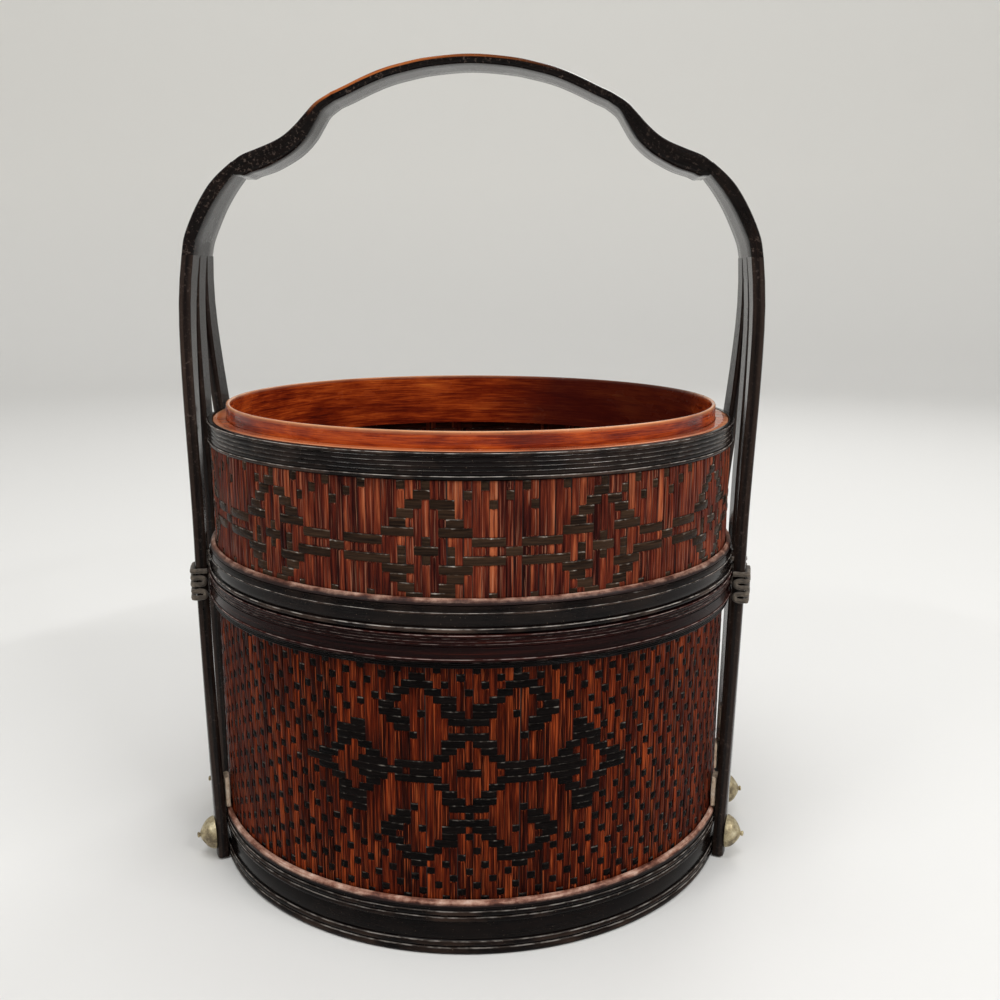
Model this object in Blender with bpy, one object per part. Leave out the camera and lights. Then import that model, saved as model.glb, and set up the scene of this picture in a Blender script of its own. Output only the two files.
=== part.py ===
# Two-tier food basket of lacquered, woven bamboo with a tall bent handle.
# Metres, +Z up. Origin: centre of the foot, on the surface that the basket stands on.
# X runs through the two groups of legs, -Y is the front.

import math

import bmesh
import bpy
from mathutils import Vector

GAP = 0.0003                # clearance between two pieces that touch
SIDES = 48                  # facets round a turned hoop

# Woven walls, the boards they stand on, and the collars inside them
WALL_R = 0.1066
WALL_THICK = 0.0024
LOWER_WALL_HEIGHT = 0.0880
TRAY_WALL_HEIGHT = 0.0408
BOARD_THICK = 0.0030
COLLAR_INSET = 0.0042       # between a wall's inner face and its collar
COLLAR_THICK = 0.0015
COLLAR_STAND = 0.0058       # how far a collar stands above its rim
COLLAR_DROP = 0.0090        # how far it reaches below the rim, inside the wall
COLLAR_FIT = 0.0006         # running clearance of the tray's foot on the collar
COLLAR_HEADROOM = 0.0005    # between the lower collar's top and the tray's board

# Hoops that carry the walls, each standing out from its wall by this much over the beads
BEAD = 0.0008
FOOT_STAND = 0.0024
FOOT_HEIGHT = 0.0185
FOOT_LIP = 0.0066
LOWER_RIM_STAND = 0.0034
LOWER_RIM_HEIGHT = 0.0120
TRAY_FOOT_STAND = 0.0032
TRAY_RIM_STAND = 0.0011
TRAY_RIM_HEIGHT = 0.0091
LEDGE_HEIGHT = 0.0019
LEDGE_WIDTH = 0.0019

# Handle: a crown strip, two thick shoulders, and a strip at each side split in three legs
CROWN_TOP = 0.3187
CROWN_THICK = 0.0037
CROWN_WIDTH = 0.0204
SHOULDER_THICK = 0.0090
STRIP_WIDTH = 0.0276
LEG_WIDTH = 0.0090
LEG_THICK_TOP = 0.0050
LEG_THICK_FOOT = 0.0044
LEG_SPREAD = 0.0018         # how much farther out the legs are below the split than at the rim
LEG_DRAW_IN = 0.0018        # how much the legs draw in again at the split
SPAN_STAND = 0.0044         # half span of the handle beyond the seat of the legs
LEG_FOOT_Y = 0.0455
RIGHT_FRONT_FOOT_Y = 0.0365  # this leg stands nearer the middle one in the photograph
LEG_CLEAR = 0.0008          # the legs end this far above the ground

# Fixings: a brass stud, a cord lashing and a pale packing piece at each leg
STUD_R = 0.0066
STUD_LENGTH = 0.0070
STUD_Z = 0.0100
CORD_THICK = 0.0022
CORD_SPACE = 0.00045        # clear gap between neighbouring strands
CORD_ROWS = 5
PACKING_WIDTH = 0.0070
PACKING_HEIGHT = 0.0120

# Hoop profiles, bottom to top: share of the height, then depth below the beads in bead depths
FOOT_SHARES = ((0, .6), (.08, 0), (.17, .5), (.25, 0), (.31, 1), (.68, 1), (.75, 0), (.81, .6), (.88, 0), (1, .9))
LOWER_RIM_SHARES = ((0, 1.2), (.1, .8), (.17, 1.1), (.25, 0), (.33, .9), (.88, .9), (.94, 0), (1, .5))
TRAY_FOOT_SHARES = ((0, .5), (.06, 0), (.18, 0), (.25, .9), (.68, .9), (.74, .2), (.84, .6), (1, 1.5))
TRAY_RIM_SHARES = ((0, .5), (.06, 0), (.15, 0), (.2, 1), (.27, .4), (.8, .4), (.85, 1), (.91, 0), (1, .5))

# Outer line of the handle: share of its half span, share of its height, and for the shoulder
# the share of its full thickness, for the side strip the shares of its thickness and width
CROWN_SHARES = ((0, 1), (.137, .9962), (.222, .9903), (.291, .9837), (.356, .9746), (.427, .9627), (.466, .9567))
SHOULDER_SHARES = ((.4712, .9552, .38), (.519, .9451, .48), (.556, .9322, .62), (.59, .9194, .74), (.628, .9077, .8),
                   (.667, .8996, .84), (.718, .8921, .9), (.774, .8842, .86), (.81, .8756, .78))
STRIP_SHARES = ((.8155, .874, .85, .76), (.844, .8638, .96, .78), (.873, .8544, 1.06, .82), (.898, .8447, 1.1, .86),
                (.938, .8202, 1.1, .93), (.97, .796, 1.06, .98), (.9795, .7854, 1.03, 1), (.9888, .7695, 1, 1),
                (.9897, .7635, 1, 1))
SPLIT_SHARE = .7620
LEG_CURVE_SHARE = 1.12      # power of the height share that the outer legs draw in by
STRAIGHT_SHARE = .885       # share of the split height where the legs reach their full spread

# Cross-section of a strip: share of the half width, share of the thickness below the outer face
STRIP_SECTION_SHARES = ((-1, .32), (-.9, .08), (-.5, 0), (.5, 0), (.9, .08), (1, .32), (1, .84), (.93, 1), (-.93, 1), (-1, .84))
LEG_SECTION_SHARES = ((-1, .28), (-.8, 0), (.8, 0), (1, .28), (1, .8), (.88, 1), (-.88, 1), (-1, .8))
STUD_SHARES = ((1, 0), (1, .08), (.94, .24), (.78, .45), (.54, .64), (.27, .79), (.12, .86), (.17, .94), (.1, 1))
TOE_SHARE = .055            # of the sRGB curve
SUPER_POWER = 5             # squareness of a strand's way round a leg
STRAND_ANGLES = (0, 25, 55, 125, 155, 180)

# Levels and radii that follow from the sizes above
COLLAR_R = WALL_R - WALL_THICK - COLLAR_INSET
FOOT_R = WALL_R + FOOT_STAND
LOWER_RIM_R = WALL_R + LOWER_RIM_STAND
TRAY_FOOT_R = WALL_R + TRAY_FOOT_STAND
TRAY_RIM_R = WALL_R + TRAY_RIM_STAND
LOWER_WALL_Z = FOOT_HEIGHT + 2 * GAP
LOWER_RIM_Z = LOWER_WALL_Z + LOWER_WALL_HEIGHT + GAP
TRAY_Z = LOWER_RIM_Z + LOWER_RIM_HEIGHT + GAP
TRAY_FOOT_HEIGHT = COLLAR_STAND + COLLAR_HEADROOM + BOARD_THICK
TRAY_WALL_Z = TRAY_FOOT_HEIGHT + 2 * GAP
TRAY_RIM_Z = TRAY_WALL_Z + TRAY_WALL_HEIGHT + GAP
CORE_SPLIT_R = WALL_R - WALL_THICK / 2
SPLIT_Z = CROWN_TOP * SPLIT_SHARE
FOOT_SEAT = FOOT_R + GAP
RIM_SEAT = max(LOWER_RIM_R, TRAY_FOOT_R) + GAP
SPLIT_SEAT = RIM_SEAT + LEG_SPREAD
HALF_SPAN = SPLIT_SEAT + SPAN_STAND
LEG_TOP_Y = (STRIP_WIDTH - LEG_WIDTH) / 2
SIDE_NAMES = {1: "right", -1: "left"}
ROW_NAMES = {-1: "front", 0: "middle", 1: "rear"}

for old in list(bpy.data.objects):
    bpy.data.objects.remove(old, do_unlink=True)

finishes = {}


# One finish per sub-part: sRGB colour, roughness, metallic value.
def finish(name, rgb, rough, metallic=0.0):
    mat = bpy.data.materials.new(name)
    mat.use_nodes = True
    shader = mat.node_tree.nodes["Principled BSDF"]
    linear = [((c / 255 + TOE_SHARE) / (1 + TOE_SHARE)) ** 2.4 for c in rgb]
    shader.inputs["Base Color"].default_value = (*linear, 1)
    shader.inputs["Roughness"].default_value = rough
    shader.inputs["Metallic"].default_value = metallic
    finishes[name] = mat


finish("black_lacquer", (16, 13, 13), .22)
finish("dark_red_lacquer", (48, 18, 15), .28)
finish("collar_lacquer", (140, 55, 22), .3)
finish("woven_bamboo", (120, 50, 25), .4)
finish("board", (70, 32, 20), .55)
finish("pale_edge", (200, 150, 128), .6)
finish("rim_core", (165, 85, 45), .5)
finish("handle_bamboo", (58, 34, 24), .35)
finish("leg_bamboo", (44, 28, 22), .4)
finish("brass", (190, 170, 110), .35, 1.0)
finish("cord", (120, 112, 100), .85)
finish("packing", (214, 190, 165), .7)


# Finishes a mesh object: smooth faces, sharp edges, its own copy of the material.
def place(name, bm, kind, location=(0, 0, 0), rotation=(0, 0, 0), parent=None):
    bmesh.ops.recalc_face_normals(bm, faces=bm.faces)
    mesh = bpy.data.meshes.new(name)
    bm.to_mesh(mesh)
    bm.free()
    mesh.shade_smooth()
    mesh.set_sharp_from_angle(angle=math.radians(40))
    return link(name, mesh, kind, location, rotation, parent)


def link(name, data, kind, location=(0, 0, 0), rotation=(0, 0, 0), parent=None):
    mat = finishes[kind].copy()
    mat.name = name
    data.materials.append(mat)
    ob = bpy.data.objects.new(name, data)
    ob.location = location
    ob.rotation_euler = rotation
    ob.parent = parent
    bpy.context.scene.collection.objects.link(ob)
    return ob


# A hoop: a closed profile of (radius, height) turned about Z.
def turned(name, profile, kind, z, parent=None):
    bm = bmesh.new()
    verts = [bm.verts.new((r, 0, h)) for r, h in profile]
    edges = [bm.edges.new((verts[i - 1], verts[i])) for i in range(len(verts))]
    bmesh.ops.spin(bm, geom=verts + edges, angle=2 * math.pi, steps=SIDES, axis=(0, 0, 1), use_merge=True)
    return place(name, bm, kind, (0, 0, z), parent=parent)


# A solid through a row of rings with equal point counts, closed at both ends.
def loft(name, rings, kind, location=(0, 0, 0), rotation=(0, 0, 0)):
    bm = bmesh.new()
    loops = [[bm.verts.new(p) for p in ring] for ring in rings]
    for low, high in zip(loops, loops[1:]):
        for i in range(len(low)):
            bm.faces.new((low[i - 1], low[i], high[i], high[i - 1]))
    bm.faces.new(loops[0])
    bm.faces.new(loops[-1])
    return place(name, bm, kind, location, rotation)


def disc(name, z, parent=None):
    bm = bmesh.new()
    bmesh.ops.create_cone(bm, cap_ends=True, segments=SIDES, radius1=WALL_R, radius2=WALL_R, depth=BOARD_THICK)
    return place(name, bm, "board", (0, 0, z + BOARD_THICK / 2), parent=parent)


# The beaded outer side of a hoop, from its bottom to its top.
def beaded(radius, height, shares):
    return [(radius - deep * BEAD, up * height) for up, deep in shares]


# A hoop with a lip that a board rests on, and a wider bore round that board.
def seat_hoop(name, radius, height, shares, bore, kind, z, parent=None):
    lip = height - BOARD_THICK
    inner = [(WALL_R + GAP, height), (WALL_R + GAP, lip), (bore, lip), (bore, 0)]
    return turned(name, beaded(radius, height, shares) + inner, kind, z, parent)


# The beaded band round the outside of a rim.
def rim_band(name, radius, height, shares, kind, z, parent=None):
    inner = CORE_SPLIT_R + GAP / 2
    return turned(name, beaded(radius, height, shares) + [(inner, height), (inner, 0)], kind, z, parent)


# The flat core hoop between a collar and its band, whose top shows as a ledge.
def rim_core(name, height, z, parent=None):
    inner, outer = COLLAR_R + GAP, CORE_SPLIT_R - GAP / 2
    return turned(name, [(inner, 0), (outer, 0), (outer, height), (inner, height)], "rim_core", z, parent)


def wall(name, height, z, parent=None):
    inner = WALL_R - WALL_THICK
    return turned(name, [(inner, 0), (WALL_R, 0), (WALL_R, height), (inner, height)], "woven_bamboo", z, parent)


# A thin upright hoop with eased edges, that a tier or a cover sits over.
def collar(name, rim_height, z, parent=None):
    ease = COLLAR_THICK / 4
    top = COLLAR_DROP + rim_height + COLLAR_STAND
    inner = COLLAR_R - COLLAR_THICK
    profile = [(inner, 0), (COLLAR_R, 0), (COLLAR_R, top - ease), (COLLAR_R - ease, top), (inner + ease, top),
               (inner, top - ease)]
    return turned(name, profile, "collar_lacquer", z - COLLAR_DROP, parent)


# The pale sloping moulding on top of a foot hoop.
def ledge(name, z, parent=None):
    inner = WALL_R + GAP
    outer = inner + LEDGE_WIDTH
    profile = [(inner, 0), (outer, 0), (outer, LEDGE_HEIGHT / 3), (inner + LEDGE_WIDTH / 3, LEDGE_HEIGHT),
               (inner, LEDGE_HEIGHT)]
    return turned(name, profile, "pale_edge", z, parent)


# A smooth curve through points of any length, Catmull-Rom, with its ends extended.
def smooth(points, steps):
    pts = [Vector(p) for p in points]
    pts = [2 * pts[0] - pts[1]] + pts + [2 * pts[-1] - pts[-2]]
    out = []
    for a, b, c, d in zip(pts, pts[1:], pts[2:], pts[3:]):
        for k in range(steps):
            t = k / steps
            out.append((2 * b + (c - a) * t + (2 * a - 5 * b + 4 * c - d) * t * t
                        + (3 * b - a - 3 * c + d) * t ** 3) / 2)
    return out + [pts[-2]]


# A strip in the XZ plane. Each point is (x, z, thickness, width) on its outer face.
def strip(name, path, kind):
    rings = []
    for i, here in enumerate(path):
        before, after = path[max(i - 1, 0)], path[min(i + 1, len(path) - 1)]
        run = Vector((after[0] - before[0], after[1] - before[1])).normalized()
        out = Vector((-run[1], run[0]))
        rings.append([(here[0] - out[0] * here[2] * deep, across * here[3] / 2, here[1] - out[1] * here[2] * deep)
                      for across, deep in STRIP_SECTION_SHARES])
    return loft(name, rings, kind)


# The same strip at the other side, walked the other way so that its outer face stays outside.
def mirrored(path):
    return [Vector((-p[0], p[1], p[2], p[3])) for p in reversed(path)]


# How far the inner face of a leg lies from the basket's axis at a height.
def leg_seat(z):
    if z < LOWER_RIM_Z:
        share = max(0, (z - FOOT_HEIGHT) / (LOWER_RIM_Z - FOOT_HEIGHT))
        return FOOT_SEAT + (RIM_SEAT - FOOT_SEAT) * share
    start = TRAY_Z + TRAY_FOOT_HEIGHT
    full = SPLIT_Z * STRAIGHT_SHARE
    t = min(1, max(0, (z - start) / (full - start)))
    drawn = max(0, (z - full) / (SPLIT_Z - full))
    return RIM_SEAT + (SPLIT_SEAT - RIM_SEAT) * t * t * (3 - 2 * t) - LEG_DRAW_IN * drawn * drawn


def leg_thick(z):
    return LEG_THICK_FOOT + (LEG_THICK_TOP - LEG_THICK_FOOT) * min(1, z / SPLIT_Z)


# A leg's middle and directions at a height: azimuth, sideways shift of the middle.
def leg_turn(side, row, z):
    share = min(1, z / SPLIT_Z)
    foot = RIGHT_FRONT_FOOT_Y if side > 0 and row < 0 else LEG_FOOT_Y
    y = row * (LEG_TOP_Y + (foot - LEG_TOP_Y) * (1 - share ** LEG_CURVE_SHARE))
    seat = leg_seat(z)
    turn = math.asin(y / seat) * (1 - share ** 4)
    return turn, (y - seat * math.sin(turn)) / math.cos(turn)


# A point by a leg: distance out from the basket's axis, distance along the leg's width.
def by_leg(side, row, z, out, along):
    turn, shift = leg_turn(side, row, z)
    along += shift
    x = out * math.cos(turn) - along * math.sin(turn)
    return Vector((side * x, out * math.sin(turn) + along * math.cos(turn), z))


def leg(side, row):
    rings = []
    top = SPLIT_Z - GAP
    count = 10
    for k in range(count + 1):
        z = LEG_CLEAR + (top - LEG_CLEAR) * k / count
        thick = leg_thick(z)
        rings.append([by_leg(side, row, z, leg_seat(z) + thick * (1 - deep), across * LEG_WIDTH / 2)
                      for across, deep in LEG_SECTION_SHARES])
    loft(SIDE_NAMES[side] + "_" + ROW_NAMES[row] + "_leg", rings, "leg_bamboo")


# A domed stud with a small ball at its tip, on a leg's outer face near the foot.
def stud(side, row):
    turn, shift = leg_turn(side, row, STUD_Z)
    seat = leg_seat(STUD_Z) + leg_thick(STUD_Z) + GAP
    count = 12
    rings = [[(wide * STUD_R * math.cos(k * 2 * math.pi / count), wide * STUD_R * math.sin(k * 2 * math.pi / count),
               high * STUD_LENGTH) for k in range(count)] for wide, high in STUD_SHARES]
    azimuth = turn if side > 0 else math.pi - turn
    loft(SIDE_NAMES[side] + "_" + ROW_NAMES[row] + "_stud", rings, "brass", by_leg(side, row, STUD_Z, seat, 0),
         (0, math.pi / 2, azimuth))


# A pale packing piece that fills the space between the wall and a leg, just above the foot.
def packing(side, row):
    low = FOOT_HEIGHT + GAP + LEDGE_HEIGHT + GAP
    inner, outer = WALL_R + GAP, leg_seat(low) - GAP
    half = PACKING_WIDTH / 2
    rings = [[by_leg(side, row, low, inner, -half), by_leg(side, row, low, outer, -half),
              by_leg(side, row, low, outer, half), by_leg(side, row, low, inner, half)]]
    rings.append([p + Vector((0, 0, PACKING_HEIGHT)) for p in rings[0]])
    loft(SIDE_NAMES[side] + "_" + ROW_NAMES[row] + "_packing", rings, "packing")


# The way of one lashing cord: over a leg and back at each row, its turns lying at the rim.
def lashing_way(side, row):
    pitch = CORD_THICK + CORD_SPACE
    bend = pitch / 2
    rim = LOWER_RIM_R + GAP
    low = rim + CORD_THICK / 2 + bend
    reach = LEG_WIDTH / 2 + GAP + CORD_THICK / 2
    first = LOWER_RIM_Z + (LOWER_RIM_HEIGHT - (CORD_ROWS - 1) * pitch) / 2
    power = 2 / SUPER_POWER
    way = [by_leg(side, row, first, rim, reach)]
    for k in range(CORD_ROWS):
        z = first + k * pitch
        hand = 1 if k % 2 == 0 else -1
        high = leg_seat(z) + leg_thick(z) + GAP + CORD_THICK / 2 - low
        for angle in STRAND_ANGLES:
            c, s = math.cos(math.radians(angle)), math.sin(math.radians(angle))
            across = hand * reach * math.copysign(abs(c) ** power, c)
            way.append(by_leg(side, row, z, low + high * max(s, 0) ** power, across))
        if k < CORD_ROWS - 1:
            for angle in (60, 120):
                a = math.radians(angle)
                way.append(by_leg(side, row, z + bend * (1 - math.cos(a)), low - bend * math.sin(a), -hand * reach))
    way.append(by_leg(side, row, way[-1][2], rim, -hand * reach))
    return way


# The least clear gap of a cord to itself, measured between points farther apart along it.
def least_gap(way, thick):
    runs = [0]
    for a, b in zip(way, way[1:]):
        runs.append(runs[-1] + (b - a).length)
    dense = [(way[i].lerp(way[i + 1], k / 4), runs[i] + (runs[i + 1] - runs[i]) * k / 4)
             for i in range(len(way) - 1) for k in range(4)]
    reach = 3 * thick
    return min((p - q).length for i, (p, s) in enumerate(dense) for q, t in dense[i:] if t - s > reach) - thick


def lashing(side, row):
    name = SIDE_NAMES[side] + "_" + ROW_NAMES[row] + "_lashing"
    way = lashing_way(side, row)
    data = bpy.data.curves.new(name, "CURVE")
    data.dimensions = "3D"
    data.bevel_depth = CORD_THICK / 2
    data.bevel_resolution = 1
    data.use_fill_caps = True
    spline = data.splines.new("POLY")
    spline.points.add(len(way) - 1)
    for point, place_at in zip(spline.points, way):
        point.co = (*place_at, 1)
    link(name, data, "cord")
    print(name, "least gap to itself, mm:", round(least_gap(way, CORD_THICK) * 1000, 2))


def handle():
    crown = smooth([(x * HALF_SPAN, z * CROWN_TOP, CROWN_THICK, CROWN_WIDTH) for x, z in CROWN_SHARES], 2)
    strip("handle_crown", mirrored(crown)[:-1] + crown, "handle_bamboo")
    shoulder = smooth([(x * HALF_SPAN, z * CROWN_TOP, t * SHOULDER_THICK, CROWN_WIDTH) for x, z, t in SHOULDER_SHARES], 2)
    side_strip = smooth([(x * HALF_SPAN, z * CROWN_TOP, t * LEG_THICK_TOP, w * STRIP_WIDTH)
                         for x, z, t, w in STRIP_SHARES], 2)
    strip("right_shoulder", shoulder, "handle_bamboo")
    strip("left_shoulder", mirrored(shoulder), "handle_bamboo")
    strip("right_side_strip", side_strip, "handle_bamboo")
    strip("left_side_strip", mirrored(side_strip), "handle_bamboo")


def lower_basket():
    seat_hoop("foot_ring", FOOT_R, FOOT_HEIGHT, FOOT_SHARES, WALL_R - FOOT_LIP, "black_lacquer", 0)
    ledge("foot_ledge", FOOT_HEIGHT + GAP)
    disc("base_board", FOOT_HEIGHT - BOARD_THICK + GAP)
    wall("lower_wall", LOWER_WALL_HEIGHT, LOWER_WALL_Z)
    rim_band("lower_rim_band", LOWER_RIM_R, LOWER_RIM_HEIGHT, LOWER_RIM_SHARES, "dark_red_lacquer", LOWER_RIM_Z)
    rim_core("lower_rim_core", LOWER_RIM_HEIGHT, LOWER_RIM_Z)
    collar("lower_collar", LOWER_RIM_HEIGHT, LOWER_RIM_Z)


# The upper tier hangs on an empty at the middle of its underside, and lifts along Z.
def upper_tray():
    tray = bpy.data.objects.new("tray", None)
    tray.location = (0, 0, TRAY_Z)
    bpy.context.scene.collection.objects.link(tray)
    seat_hoop("tray_foot_band", TRAY_FOOT_R, TRAY_FOOT_HEIGHT, TRAY_FOOT_SHARES, COLLAR_R + COLLAR_FIT,
              "black_lacquer", 0, tray)
    ledge("tray_foot_ledge", TRAY_FOOT_HEIGHT + GAP, tray)
    disc("tray_board", TRAY_FOOT_HEIGHT - BOARD_THICK + GAP, tray)
    wall("tray_wall", TRAY_WALL_HEIGHT, TRAY_WALL_Z, tray)
    rim_band("tray_rim_band", TRAY_RIM_R, TRAY_RIM_HEIGHT, TRAY_RIM_SHARES, "black_lacquer", TRAY_RIM_Z, tray)
    rim_core("tray_rim_core", TRAY_RIM_HEIGHT, TRAY_RIM_Z, tray)
    collar("tray_collar", TRAY_RIM_HEIGHT, TRAY_RIM_Z, tray)


lower_basket()
upper_tray()
handle()
for side in (1, -1):
    for row in (-1, 0, 1):
        leg(side, row)
        stud(side, row)
        packing(side, row)
        lashing(side, row)
bpy.context.view_layer.update()
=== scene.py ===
# Two-tier food basket of lacquered, woven bamboo: the finished look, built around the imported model.
# Metres, in the model's own frame. -Y is the front.
import math
import random

import bmesh
import bpy
from mathutils import Matrix, Vector, noise


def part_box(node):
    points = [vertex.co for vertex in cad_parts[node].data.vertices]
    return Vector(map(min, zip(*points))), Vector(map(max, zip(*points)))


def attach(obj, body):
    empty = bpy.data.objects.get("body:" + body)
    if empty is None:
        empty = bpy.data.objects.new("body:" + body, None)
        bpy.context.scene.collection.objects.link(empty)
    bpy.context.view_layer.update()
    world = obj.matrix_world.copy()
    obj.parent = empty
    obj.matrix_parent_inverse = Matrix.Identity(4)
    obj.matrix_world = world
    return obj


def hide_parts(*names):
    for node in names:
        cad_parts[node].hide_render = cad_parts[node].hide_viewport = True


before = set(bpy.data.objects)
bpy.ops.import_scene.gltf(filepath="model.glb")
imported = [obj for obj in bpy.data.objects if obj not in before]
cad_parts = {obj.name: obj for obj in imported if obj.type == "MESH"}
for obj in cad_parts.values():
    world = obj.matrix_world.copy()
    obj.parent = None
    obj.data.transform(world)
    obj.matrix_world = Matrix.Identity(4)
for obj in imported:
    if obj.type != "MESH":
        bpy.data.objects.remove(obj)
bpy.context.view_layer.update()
mm = 0.001
gap = 0.3 * mm  # between pieces that touch, as in the model
print("model loaded:", len(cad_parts), "nodes")

# Camera and lamps

cameraView = {"location": (0.0250, -0.4337, 0.2344), "yaw": -1.74, "pitch": -12.07, "roll": 0.24,
              "lens": 37.37, "sensor": 36}


def aimCamera(view):
    yaw, pitch, roll = (math.radians(view[k]) for k in ("yaw", "pitch", "roll"))
    ahead = Vector((math.sin(yaw), math.cos(yaw), 0))
    right = Vector((math.cos(yaw), -math.sin(yaw), 0))
    forward = ahead * math.cos(pitch) + Vector((0, 0, math.sin(pitch)))
    up = Vector((0, 0, math.cos(pitch))) - ahead * math.sin(pitch)
    side = right * math.cos(roll) + up * math.sin(roll)
    top = up * math.cos(roll) - right * math.sin(roll)
    data = bpy.data.cameras.new("photoCamera")
    data.sensor_width = view["sensor"]
    data.lens = view["lens"]
    camera = bpy.data.objects.new("photoCamera", data)
    turn = Matrix((side, top, -forward)).transposed()
    camera.matrix_world = Matrix.Translation(view["location"]) @ turn.to_4x4()
    bpy.context.scene.collection.objects.link(camera)
    bpy.context.scene.camera = camera


lamps = {  # place, aim, width and height, watts
    "overheadLamp": ((-0.1, -0.35, 1.6), (0, 0, 0.1), (0.8, 0.8), 9),
    "leftLamp": ((-1.05, -0.95, 1.0), (0, 0, 0.12), (0.5, 0.04), 4.5),
    "rightLamp": ((1.0, -0.8, 1.1), (0, 0, 0.12), (0.9, 0.05), 12),
    "backLamp": ((0.45, 1.15, 1.2), (0, 0, 0.12), (0.6, 0.6), 4.5),
    "wallLamp": ((0, 0.6, 2.2), (0, 2.7, 1.0), (0.8, 0.8), 12),
}


def hangLamp(name, place, aim, size, watts):
    data = bpy.data.lights.new(name, "AREA")
    data.shape = "RECTANGLE"
    data.size, data.size_y = size
    data.energy = watts
    lamp = bpy.data.objects.new(name, data)
    lamp.location = place
    lamp.rotation_mode = "QUATERNION"
    lamp.rotation_quaternion = (Vector(aim) - Vector(place)).to_track_quat("-Z", "Y")
    bpy.context.scene.collection.objects.link(lamp)


# Small tools for finishes: each call adds its nodes and gives back an output

class Finish:
    def __init__(self, name, roughness, specular=0.5, coat=(0, 0.03, 1.5), **others):
        self.material = bpy.data.materials.new(name)
        self.material.use_nodes = True
        self.nodes = self.material.node_tree.nodes
        self.links = self.material.node_tree.links
        self.shader = self.nodes["Principled BSDF"]
        values = {"Roughness": roughness, "Specular IOR Level": specular, **others}
        values["Coat Weight"], values["Coat Roughness"], values["Coat IOR"] = coat
        for socket, value in values.items():
            self.shader.inputs[socket.replace("_", " ")].default_value = value

    def add(self, kind, inputs, output=0, **settings):
        node = self.nodes.new(kind)
        for key, value in settings.items():
            setattr(node, key, value)
        for key, value in inputs.items():
            if isinstance(value, bpy.types.NodeSocket):
                self.links.new(value, node.inputs[key])
            else:
                node.inputs[key].default_value = value
        return node.outputs[output]

    def axis(self, letter, source="Object"):  # one coordinate of the place, or of the normal
        where = self.add("ShaderNodeTexCoord", {}, source)
        return self.add("ShaderNodeSeparateXYZ", {0: where}, letter)

    def scaled(self, where, scale):  # one scale, or one for each axis
        stretch = scale if len(scale) == 3 else scale * 3
        return self.add("ShaderNodeVectorMath", {0: where, 1: stretch}, operation="MULTIPLY")

    def place(self, *scale):
        return self.scaled(self.add("ShaderNodeTexCoord", {}, "Object"), scale)

    def strand(self, *scale):  # place along and across a strip or cord
        where = self.add("ShaderNodeAttribute", {}, "Vector", attribute_name="strand")
        return self.scaled(where, scale)

    def tone(self):
        return self.add("ShaderNodeAttribute", {}, "Fac", attribute_name="tone")

    def shift(self, where, amount, by):  # moves a pattern along by a value, so that neighbours differ
        moved = self.times(amount, by)
        return self.add("ShaderNodeVectorMath", {0: where, 1: moved}, operation="ADD")

    def noise(self, where, detail=3.0, rough=0.55):
        inputs = {"Vector": where, "Scale": 1.0, "Detail": detail, "Roughness": rough}
        return self.add("ShaderNodeTexNoise", inputs)

    def calc(self, operation, *values):
        return self.add("ShaderNodeMath", dict(enumerate(values)), operation=operation)

    def plus(self, a, b):
        return self.calc("ADD", a, b)

    def times(self, a, b):
        return self.calc("MULTIPLY", a, b)

    def blend(self, a, shareA, b, shareB):
        return self.plus(self.times(a, shareA), self.times(b, shareB))

    def ramp(self, value, *stops):
        node = self.nodes.new("ShaderNodeValToRGB")
        self.links.new(value, node.inputs[0])
        points = node.color_ramp.elements
        while len(points) < len(stops):
            points.new(0.5)
        for point, (at, colour) in zip(points, stops):
            point.position = at
            shade = colour if isinstance(colour, tuple) else (colour, colour, colour)
            point.color = (*shade, 1)
        return node.outputs[0]

    def mix(self, factor, a, b):
        node = self.nodes.new("ShaderNodeMix")
        node.data_type = "RGBA"
        for slot, value in ((0, factor), (6, a), (7, b)):
            if isinstance(value, bpy.types.NodeSocket):
                self.links.new(value, node.inputs[slot])
            else:
                node.inputs[slot].default_value = (*value, 1)
        return node.outputs[2]

    def bump(self, height, depth, strength):  # depth in mm
        before = self.shader.inputs["Normal"].links
        inputs = {"Height": height, "Distance": depth * mm, "Strength": strength}
        if before:
            inputs["Normal"] = before[0].from_socket
        self.links.new(self.add("ShaderNodeBump", inputs), self.shader.inputs["Normal"])

    def use(self, **sockets):
        for socket, value in sockets.items():
            self.links.new(value, self.shader.inputs[socket.replace("_", " ")])
        return self.material


def srgb(r, g, b):
    return tuple((c / 255 / 12.92) if c < 11 else ((c / 255 + 0.055) / 1.055) ** 2.4 for c in (r, g, b))


def tinted(look):  # the same look, with its colours made linear
    return {key: srgb(*value) if isinstance(value, tuple) else value for key, value in look.items()}


# Finishes. Colours are sRGB from 0 to 255

# The lower splints are darker than the tray's: partly their own deeper red, partly painted shade for the lower
# tier
lowerSplintLook = {"deep": (20, 4, 3), "red": (50, 13, 6), "warm": (90, 30, 12), "bright": (150, 64, 27),
                   "streak": (178, 86, 44), "streaking": 0.6, "grain": 1500, "spread": 0.14, "aging": 0.6}
traySplintLook = {"deep": (32, 10, 9), "red": (72, 26, 19), "warm": (112, 47, 29), "bright": (168, 90, 56),
                  "streak": (192, 132, 102), "streaking": 0.4, "grain": 950, "spread": 0.16, "aging": 0.5}


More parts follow.
